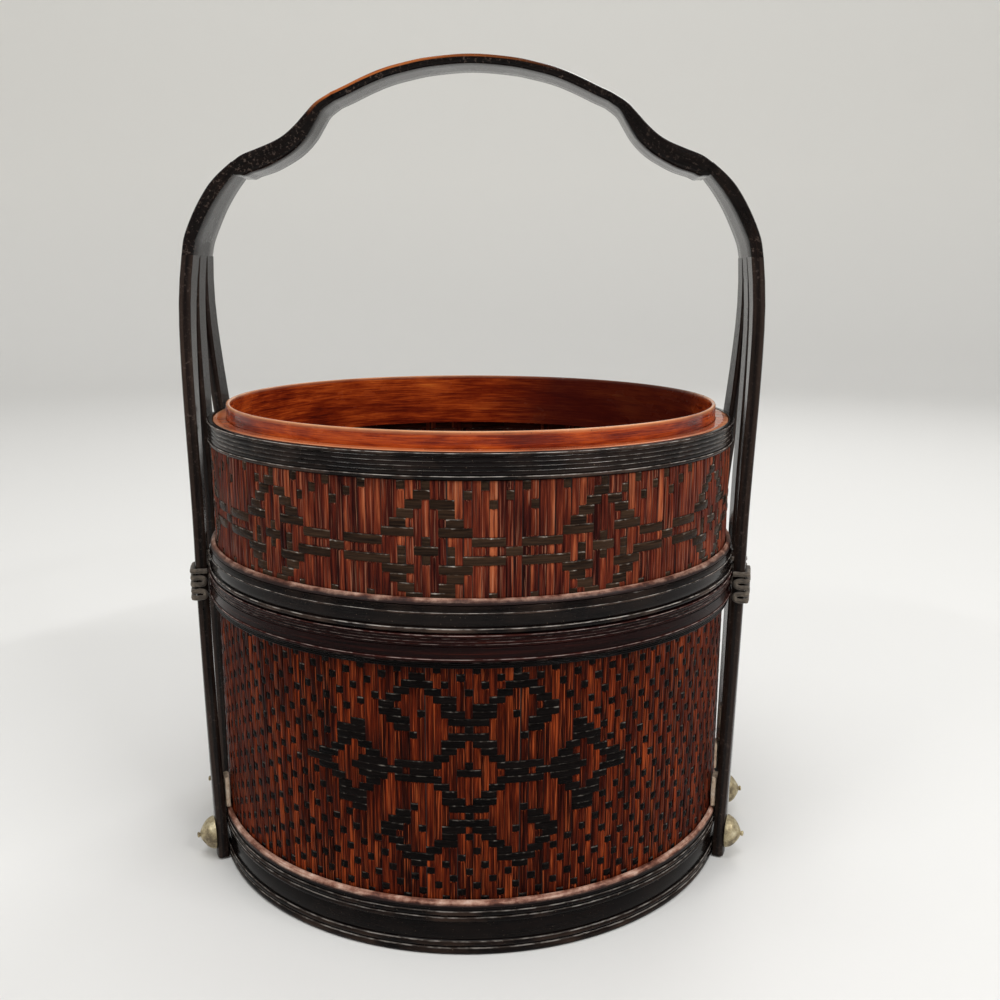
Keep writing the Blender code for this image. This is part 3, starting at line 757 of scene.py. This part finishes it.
# One upright splint: flat, with eased edges and a shallow groove, dipping where weft lies over it.
# It faces out (1) or in (-1), and its stations are heights with the depth there
def addSplint(shape, loom, column, radius, face, stations):
    form, pitch, angle = splintForm, loom.pitch, loom.angle(column)
    half = pitch * form["width"] / 2 * loom.random.uniform(*form["uneven"])
    groove = loom.random.uniform(-form["grooveOff"], form["grooveOff"])
    proud = loom.random.uniform(-form["proud"], form["proud"])
    tone = min(1, max(0, loom.random.gauss(0.5, 0.22)))
    lean = loom.random.uniform(-form["lean"], form["lean"])
    section = ((-1, form["edge"]), (-0.88, 0), (groove - form["grooveHalf"], form["shoulder"]),
               (groove, form["groove"]), (groove + form["grooveHalf"], form["shoulder"]), (0.88, 0),
               (1, form["edge"]), (0.9, form["back"]), (-0.9, form["back"]))
    bottom, top = stations[0][0], stations[-1][0]
    rings = []
    for z, dip in stations:
        slant = angle + pitch * lean * (z - bottom) / (top - bottom)
        slant += noise.noise((angle * 40, z * 60, radius * 90)) * pitch * form["waver"]
        rings.append([onWall(radius + face * (proud - dip - deep), slant + across * half, z)
                      for across, deep in section])
    addLoft(shape, rings, tone)


# One weft crossing: a low rounded bar whose ends tuck under the splints beside it
def addCrossing(shape, loom, row, first, last, radius, face):
    form, pitch, count = weftForm, loom.pitch, last - first + 1
    tall = loom.rowHeight * form["tall"] * loom.random.uniform(*form["uneven"])
    tone = loom.random.random()
    tilt = loom.random.uniform(-form["tilt"], form["tilt"]) * loom.rowHeight
    z = loom.level(row + 0.5)
    start, end = loom.angle(first) - pitch * 0.5, loom.angle(last) + pitch * 0.5
    over = pitch * (form["over"] if count > 1 else -0.02)
    shares = [(0, form["tuck"]), (form["end"] / count, 0.1)]
    shares += [(k / count, 1) for k in range(1, count)] if count > 1 else [(0.5, 0.6)]
    shares += [(1 - form["end"] / count, 0.1), (1, form["tuck"])]
    section = ((-1, form["edge"]), (-0.72, form["crown"]), (0, -form["crown"]), (0.56, 0),
               (0.8, form["lift"]), (1, form["edge"]), (0.85, form["back"]), (-0.85, form["back"]))
    swell = form["lift"] * min(count, 5) / 2
    rings = []
    for share, high in shares:
        angle = start - over + (end - start + 2 * over) * share
        out = form["rise"] * high + swell * math.sin(math.pi * share) * (high > 0)
        out += loom.random.uniform(-form["rough"], form["rough"])
        width = tall * (1 if high > 0 else form["narrow"])
        rings.append([onWall(radius + face * (out - deep), angle, z + tilt * (share - 0.5) + up * width)
                      for up, deep in section])
    addLoft(shape, rings, tone)


def outerStations(loom, crossed):  # the splint runs the whole height and dips under each crossing
    dip, swell, soft = splintForm["dip"], splintForm["swell"], loom.rowHeight * splintForm["soft"]
    top, stations, at = loom.high.z, [], 0
    for first, last in runsOf(crossed):
        low, high, start = loom.level(first), loom.level(last + 1), loom.level(at)
        if first > at:
            stations += [(start + soft if at else start, 0),
                         ((start + low) / 2, -swell * min(1, (first - at) / 4)), (low - soft, 0)]
        stations += [(low + soft * 0.6 if first else low, dip), (high - soft * 0.6, dip)]
        at = last + 1
    end = loom.level(at)
    if end < top - loom.rowHeight * 0.2:
        stations += [(end + soft if at else end, 0), ((end + top) / 2, -swell), (top, 0)]
    return stations


def innerStations(loom, first, last):  # inside, the splint shows where weft crosses in front of it
    low, high, dip = loom.level(first), loom.level(last + 1), splintForm["dip"]
    hidden, shown = loom.rowHeight * 0.1, loom.rowHeight * 0.15
    return [(low - hidden, dip), (low + shown, 0), (high - shown, 0), (high + hidden, dip)]


def weaveWall(node, wall):
    loom, cell, body = Loom(node, wall["weave"]), wall["cell"], wall["body"]
    outer = loom.high.x - wallForm["skin"]
    inner = loom.high.x - wallForm["thick"] + wallForm["skin"]
    firstColumn = -(loom.columns // 2)
    everyColumn = range(firstColumn, firstColumn + loom.columns)
    splints, wefts, inside = emptyShape(), emptyShape(), emptyShape()
    for column in everyColumn:
        crossed = [cell(column, row) for row in range(loom.rows)]
        addSplint(splints, loom, column, outer, 1, outerStations(loom, crossed))
        for first, last in runsOf(crossed) if wall["lined"] else ():
            addSplint(splints, loom, column, inner, -1, innerStations(loom, first, last))
    for row in range(loom.rows):
        crossed = [cell(column, row) for column in everyColumn]
        for first, last in runsOf(crossed):
            addCrossing(wefts, loom, row, firstColumn + first, firstColumn + last, outer, 1)
        for first, last in runsOf([not c for c in crossed]) if wall["lined"] else ():
            for part in range(first, last + 1, weftForm["longest"]):
                end = min(part + weftForm["longest"] - 1, last)
                addCrossing(inside, loom, row, firstColumn + part, firstColumn + end, inner, -1)
    makePiece(node + "_splints", splints, wall["splints"], body, (node,))
    makePiece(node + "_weft", wefts, wall["weft"], body)
    if wall["lined"]:
        makePiece(node + "_inside", inside, "innerWeft", body)
    tall, coreOut = loom.high.z - loom.low.z, outer - wallForm["coreBehind"]
    coreIn = inner + wallForm["coreBehind"] if wall["lined"] else inner - wallForm["plainLining"]
    core = turned([(coreOut, 0, 0), (coreOut, tall, 0), (coreIn, tall, 0), (coreIn, 0, 0)], loom.low.z)
    makePiece(node + "_core", core, "core", body)
    print("woven:", node)


walls = {
    "lower_wall": {"weave": lowerWeave, "cell": lowerCell, "body": "basket", "splints": "lowerSplint",
                   "weft": "lowerWeft", "lined": False},
    "tray_wall": {"weave": trayWeave, "cell": trayCell, "body": "tray", "splints": "traySplint",
                  "weft": "trayWeft", "lined": True},
}
for node, wall in walls.items():
    weaveWall(node, wall)

# Handle. The lines are the model's own, walked in finer steps

handle = {"crownThick": 3.7 * mm, "crownWide": 20.4 * mm, "shoulderThick": 9.0 * mm, "stripWide": 27.6 * mm,
          "legWide": 9.0 * mm, "legThickTop": 5.0 * mm, "legThickFoot": 4.4 * mm, "legFootY": 45.5 * mm,
          "rightFrontFootY": 36.5 * mm, "legClear": 0.8 * mm, "spread": 1.8 * mm, "drawIn": 1.8 * mm,
          "spanStand": 4.4 * mm, "split": 0.762, "fullSpread": 0.885, "steps": 5, "legRings": 26}
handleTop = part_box("handle_crown")[1].z
splitZ = handleTop * handle["split"]
rimLow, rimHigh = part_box("lower_rim_band")
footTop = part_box("foot_ring")[1].z
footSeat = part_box("foot_ring")[1].x + gap
rimSeat = rimHigh.x + gap
splitSeat = rimSeat + handle["spread"]
halfSpan = splitSeat + handle["spanStand"]
legTopY = (handle["stripWide"] - handle["legWide"]) / 2

# Shares of the half span and of the height, then shares of the thickness and of the width
crownLine = ((0, 1), (.137, .9962), (.222, .9903), (.291, .9837), (.356, .9746), (.427, .9627), (.4695, .956))
shoulderLine = ((.467, .9562, .39), (.519, .9451, .48), (.556, .9322, .62), (.59, .9194, .74),
                (.628, .9077, .8), (.667, .8996, .84), (.718, .8921, .9), (.774, .8842, .86),
                (.806, .8766, .8), (.826, .8705, .56))
sideLine = ((.811, .8754, .78, .75), (.844, .8654, .96, .78), (.87, .8563, 1.05, .82),
            (.8948, .8455, 1.1, .86), (.9227, .8296, 1.1, .9), (.9468, .813, 1.1, .945),
            (.968, .7957, 1.07, .975), (.982, .7807, 1.03, 1), (.9912, .762, 1, 1))

# Round a strip: share of the half width, share of the thickness below the outer face, wear
stripSection = ((-1, .56, .1), (-1, .32, .8), (-.988, .11, 1), (-.94, .045, 1), (-.8, .015, .8), (-.4, 0, .5),
                (0, 0, .4), (.4, 0, .5), (.8, .015, .7), (.94, .045, .8), (.988, .11, .6), (1, .32, .2),
                (1, .5, 0), (1, .84, 0), (.975, .95, 0), (.92, 1, 0), (.4, 1, 0), (-.4, 1, 0), (-.92, 1, 0),
                (-.975, .95, 0), (-1, .84, 0))
legSection = ((-1, .5, .6), (-1, .26, 1), (-.93, .08, 1), (-.78, 0, .5), (0, -.03, 0), (.78, 0, .5),
              (.93, .08, 1), (1, .26, 1), (1, .5, .6), (1, .82, .8), (.9, 1, .8), (0, 1, 0), (-.9, 1, .8),
              (-1, .82, .8))


def smoothLine(points, steps):
    pts = [Vector(p) for p in points]
    pts = [2 * pts[0] - pts[1]] + pts + [2 * pts[-1] - pts[-2]]
    out = []
    for a, b, c, d in zip(pts, pts[1:], pts[2:], pts[3:]):
        for k in range(steps):
            t = k / steps
            out.append((2 * b + (c - a) * t + (2 * a - 5 * b + 4 * c - d) * t * t
                        + (3 * b - a - 3 * c + d) * t ** 3) / 2)
    return out + [pts[-2]]


def handlePath(line, thick, wide):  # x, z, thickness and width along a strip
    points = [(x * halfSpan, z * handleTop, t * thick, w * wide) for x, z, t, w in line]
    return smoothLine(points, handle["steps"])


def mirrorLine(path):
    return [Vector((-x, z, thick, wide)) for x, z, thick, wide in reversed(path)]


def makeStrip(node, path):
    shape, rings, strands, along = emptyShape(), [], [], 0
    for i, (x, z, thick, wide) in enumerate(path):
        before, after = path[max(i - 1, 0)], path[min(i + 1, len(path) - 1)]
        run = Vector((after[0] - before[0], after[1] - before[1])).normalized()
        along += math.dist((x, z), before[:2])
        rings.append([(x + run[1] * thick * deep, across * wide / 2, z - run[0] * thick * deep)
                      for across, deep, _ in stripSection])
        strands.append([(along, across * wide / 2, thick * deep) for across, deep, _ in stripSection])
    addLoft(shape, rings, [wear for _, _, wear in stripSection], strands)
    makePiece(node + "_bamboo", shape, "handle", "basket", (node,))


wholeCrown = [(-x, z, 1, 1) for x, z in crownLine[:0:-1]] + [(x, z, 1, 1) for x, z in crownLine]
crown = handlePath(wholeCrown, handle["crownThick"], handle["crownWide"])
shoulder = handlePath([(*point, 1) for point in shoulderLine], handle["shoulderThick"], handle["crownWide"])
sideStrip = handlePath(sideLine, handle["legThickTop"], handle["stripWide"])
makeStrip("handle_crown", crown)
makeStrip("right_shoulder", shoulder)
makeStrip("left_shoulder", mirrorLine(shoulder))
makeStrip("right_side_strip", sideStrip)
makeStrip("left_side_strip", mirrorLine(sideStrip))


def legSeat(z):  # how far from the axis a leg's inner face lies
    if z < rimLow.z:
        share = max(0, (z - footTop) / (rimLow.z - footTop))
        return footSeat + (rimSeat - footSeat) * share
    start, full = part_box("tray_foot_band")[1].z, splitZ * handle["fullSpread"]
    t = min(1, max(0, (z - start) / (full - start)))
    drawn = max(0, (z - full) / (splitZ - full))
    return rimSeat + handle["spread"] * t * t * (3 - 2 * t) - handle["drawIn"] * drawn * drawn


def legThick(z):
    return handle["legThickFoot"] + (handle["legThickTop"] - handle["legThickFoot"]) * min(1, z / splitZ)


def legTurn(side, row, z):  # the way a leg faces, and how far it is shifted along its face
    share = min(1, z / splitZ)
    foot = handle["rightFrontFootY"] if side > 0 and row < 0 else handle["legFootY"]
    y = row * (legTopY + (foot - legTopY) * (1 - share ** 1.12))
    seat = legSeat(z)
    turn = math.asin(y / seat) * (1 - share ** 4)
    return turn, (y - seat * math.sin(turn)) / math.cos(turn)


def byLeg(side, row, z, out, along):  # a place beside a leg, out from the axis and along the leg's face
    turn, shifted = legTurn(side, row, z)
    along += shifted
    x = out * math.cos(turn) - along * math.sin(turn)
    return Vector((side * x, out * math.sin(turn) + along * math.cos(turn), z))


def makeLeg(name, side, row):
    shape, rings, strands = emptyShape(), [], []
    half, clear = handle["legWide"] / 2, handle["legClear"]
    for k in range(handle["legRings"] + 1):
        z = clear + (splitZ - clear) * k / handle["legRings"]
        seat, thick = legSeat(z), legThick(z)
        rings.append([tuple(byLeg(side, row, z, seat + thick * (1 - deep), across * half))
                      for across, deep, _ in legSection])
        start = z + row * 0.3 + side  # so that no two legs have the same grain
        strands.append([(start, across * half, thick * deep) for across, deep, _ in legSection])
    addLoft(shape, rings, [wear for _, _, wear in legSection], strands)
    makePiece(name + "_leg_bamboo", shape, "leg", "basket", (name + "_leg",))


studForm = {"radius": 6.6 * mm, "length": 7.0 * mm, "height": 10.0 * mm, "dent": 0.025, "sides": 40}
studLine = ((1, 0), (1, .04), (.985, .1), (.955, .19), (.9, .3), (.83, .39), (.74, .48), (.63, .565),
            (.51, .645), (.4, .71), (.3, .765), (.2, .805), (.13, .83), (.115, .85), (.14, .875),
            (.168, .91), (.165, .95), (.13, .985), (.06, 1))  # shares of the radius and of the length


def makeStud(name, side, row):
    z = studForm["height"]
    turn, _ = legTurn(side, row, z)
    azimuth = turn if side > 0 else math.pi - turn
    seat = byLeg(side, row, z, legSeat(z) + legThick(z) + gap, 0)
    place = Matrix.Translation(seat) @ Matrix.Rotation(azimuth, 4, "Z") @ Matrix.Rotation(math.pi / 2, 4, "Y")
    shape, rings = emptyShape(), []
    for wide, high in studLine:
        ring = []
        for k in range(studForm["sides"]):
            a = 2 * math.pi * k / studForm["sides"]
            c, s = math.cos(a), math.sin(a)
            dent = 1 + studForm["dent"] * noise.noise((c * 1.7 + side * 9, s * 1.7 + row * 5, high * 3))
            radius = wide * studForm["radius"] * dent
            ring.append(tuple(place @ Vector((radius * c, radius * s, high * studForm["length"]))))
        rings.append(ring)
    addLoft(shape, rings)
    makePiece(name + "_stud_brass", shape, "brass", "basket", (name + "_stud",))


lashForm = {"thick": 2.2 * mm, "space": 0.45 * mm, "rows": 5, "squareness": 5,
            "overAngles": (0, 25, 55, 125, 155, 180), "turnAngles": (60, 120), "sides": 12,
            "lay": 3.4 * mm, "ridge": 0.09 * mm, "steps": 3}


# Way of one lashing: over the leg and back at each row, its turns lying at the rim
def lashingWay(side, row):
    thick, rows = lashForm["thick"], lashForm["rows"]
    pitch = thick + lashForm["space"]
    bend, power = pitch / 2, 2 / lashForm["squareness"]
    low = rimSeat + thick / 2 + bend
    reach = handle["legWide"] / 2 + gap + thick / 2
    first = rimLow.z + (rimHigh.z - rimLow.z - (rows - 1) * pitch) / 2
    way = [byLeg(side, row, first, rimSeat, reach)]
    for k in range(rows):
        z, hand = first + k * pitch, 1 if k % 2 == 0 else -1
        high = legSeat(z) + legThick(z) + gap + thick / 2 - low
        for angle in lashForm["overAngles"]:
            c, s = math.cos(math.radians(angle)), math.sin(math.radians(angle))
            across = hand * reach * math.copysign(abs(c) ** power, c)
            way.append(byLeg(side, row, z, low + high * max(s, 0) ** power, across))
        for angle in lashForm["turnAngles"] if k < rows - 1 else ():
            a = math.radians(angle)
            turnZ, turnOut = z + bend * (1 - math.cos(a)), low - bend * math.sin(a)
            way.append(byLeg(side, row, turnZ, turnOut, -hand * reach))
    way.append(byLeg(side, row, way[-1].z, rimSeat, -hand * reach))
    return way


# A laid cord: a round tube whose surface swells in three strands that wind round it
def makeLashing(name, side, row):
    path = smoothLine(lashingWay(side, row), lashForm["steps"])
    shape, rings, strands, along = emptyShape(), [], [], 0
    thick, normal = lashForm["thick"], Vector((0, 0, 1))
    angles = [2 * math.pi * k / lashForm["sides"] for k in range(lashForm["sides"])]
    for i, here in enumerate(path):
        run = (path[min(i + 1, len(path) - 1)] - path[max(i - 1, 0)]).normalized()
        normal = (normal - run * normal.dot(run)).normalized()
        other = run.cross(normal)
        along += (here - path[max(i - 1, 0)]).length
        ring = []
        for a in angles:
            swell = math.cos(3 * (a - 2 * math.pi * along / (3 * lashForm["lay"])))
            r = thick / 2 - lashForm["ridge"] * (1 - swell)
            ring.append(tuple(here + normal * r * math.cos(a) + other * r * math.sin(a)))
        rings.append(ring)
        start = along + side * 0.3 + row * 0.1
        strands.append([(start, thick * math.cos(a), thick * math.sin(a)) for a in angles])
    addLoft(shape, rings, 0, strands)
    makePiece(name + "_lashing_cord", shape, "cord", "basket", (name + "_lashing",))


packForm = {"width": 7.0 * mm, "height": 12.0 * mm, "wave": 0.25 * mm, "rings": 8, "sides": 20,
            "squareness": 0.35, "pinch": 0.86, "slack": 0.96}


def makePacking(name, side, row):
    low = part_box(name + "_packing")[0].z
    inner, outer = besideWall, legSeat(low) - gap
    shape, rings, power = emptyShape(), [], packForm["squareness"]
    for k in range(packForm["rings"] + 1):
        z = low + packForm["height"] * k / packForm["rings"]
        pinch = packForm["pinch"] if k in (0, packForm["rings"]) else 1
        ring = []
        for n in range(packForm["sides"]):
            a = 2 * math.pi * n / packForm["sides"]
            c, s = math.cos(a), math.sin(a)
            along = math.copysign(abs(c) ** power, c) * packForm["width"] / 2 * pinch
            along += noise.noise((z * 500, side * 3 + row, s * 2)) * packForm["wave"]
            depth = math.copysign(abs(s) ** power, s) * (outer - inner) / 2 * packForm["slack"]
            ring.append(tuple(byLeg(side, row, z, (inner + outer) / 2 + depth, along)))
        rings.append(ring)
    addLoft(shape, rings)
    makePiece(name + "_packing_piece", shape, "packing", "basket", (name + "_packing",))


for side, sideName in ((1, "right"), (-1, "left")):
    for row, rowName in ((-1, "front"), (0, "middle"), (1, "rear")):
        name = sideName + "_" + rowName
        makeLeg(name, side, row)
        makeStud(name, side, row)
        makeLashing(name, side, row)
        makePacking(name, side, row)
print("handle, legs and fixings made")

for node in ("base_board", "tray_board"):
    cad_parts[node].material_slots[0].material = finishes["board"]

# Room: a round paper sweep with floor, bend and wall in one sheet. Colours are linear

room = {"hole": 0.002, "middle": 0.3, "radius": 1.9, "bend": 0.8, "bendSteps": 12, "top": 3.0, "sides": 96,
        "floor": (0.74, 0.735, 0.72), "wall": (0.8, 0.79, 0.76), "fleck": (0.6, 0.6, 0.6),
        "skyStrength": 0.46}


def paperFinish():
    f = Finish("palePaper", 0.9, 0.1)
    fibre = f.noise(f.place(260), detail=2.0)
    # Painted light: the wall is paler than the floor to make up for the lamps lighting it less
    pale = f.mix(f.ramp(f.axis("Z"), (0.0, 0.0), (0.5, 1.0)), room["floor"], room["wall"])
    return f.use(Base_Color=f.mix(f.ramp(fibre, (0.3, 0.0), (0.7, 0.02)), pale, room["fleck"]))


def makeRoom():
    outline = [(room["hole"], 0), (room["middle"], 0), (room["radius"], 0)]
    for k in range(1, room["bendSteps"] + 1):
        a = math.pi / 2 * k / room["bendSteps"]
        outline.append((room["radius"] + room["bend"] * math.sin(a), room["bend"] * (1 - math.cos(a))))
    outline.append((outline[-1][0], room["top"]))
    sides = room["sides"]
    points = [onWall(r, 2 * math.pi * k / sides, z) for r, z in outline for k in range(sides)]
    faces = [tuple(range(sides - 1, -1, -1))]
    for low in range(0, (len(outline) - 1) * sides, sides):
        high = low + sides
        faces += [(low + k, low + (k + 1) % sides, high + (k + 1) % sides, high + k) for k in range(sides)]
    mesh = bpy.data.meshes.new("paleSweep")
    mesh.from_pydata(points, [], faces)
    mesh.shade_smooth()
    mesh.materials.append(paperFinish())
    sweep = bpy.data.objects.new("paleSweep", mesh)
    bpy.context.scene.collection.objects.link(sweep)


def makeWorld():
    world = bpy.data.worlds.new("softWorld")
    world.use_nodes = True
    back = world.node_tree.nodes["Background"]
    back.inputs["Strength"].default_value = room["skyStrength"]
    back.inputs["Color"].default_value = (1, 1, 1, 1)
    bpy.context.scene.world = world


makeRoom()
makeWorld()
for name, lamp in lamps.items():
    hangLamp(name, *lamp)
aimCamera(cameraView)
bpy.context.scene.view_settings.view_transform = "Standard"
print("room, lamps and camera set")

bpy.context.view_layer.update()
